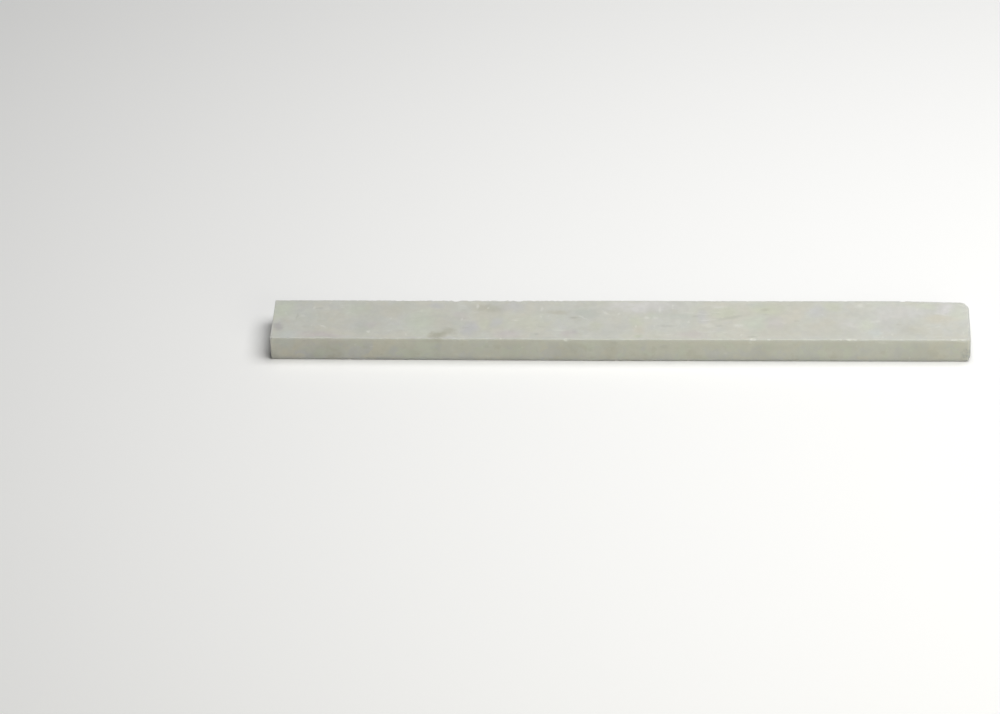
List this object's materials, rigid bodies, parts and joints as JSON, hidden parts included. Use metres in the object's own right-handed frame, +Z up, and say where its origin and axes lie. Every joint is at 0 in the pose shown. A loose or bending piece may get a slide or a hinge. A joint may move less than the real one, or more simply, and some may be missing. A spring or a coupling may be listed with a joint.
{
  "type": "soapstone marking stick",
  "caption": "Flat sawn bar of soapstone chalk, square at one end and worn round at the other, for marking lines on metal and cloth.",
  "frame": {"origin": "middle of the underside, on the surface that the stick lies on", "axes": "+X along the stick from the square sawn end to the worn end, +Y across its width to the side whose end corner is worn rounder, +Z up through its thickness"},
  "size_m": [0.127, 0.0126, 0.0048],
  "materials": {
    "soapstone": "matt sawn talc stone, faintly waxy and translucent, clouded pale grey-green"
  },
  "bodies": {
    "root": {"chalk_stick": "soapstone"}
  },
  "joints": []
}
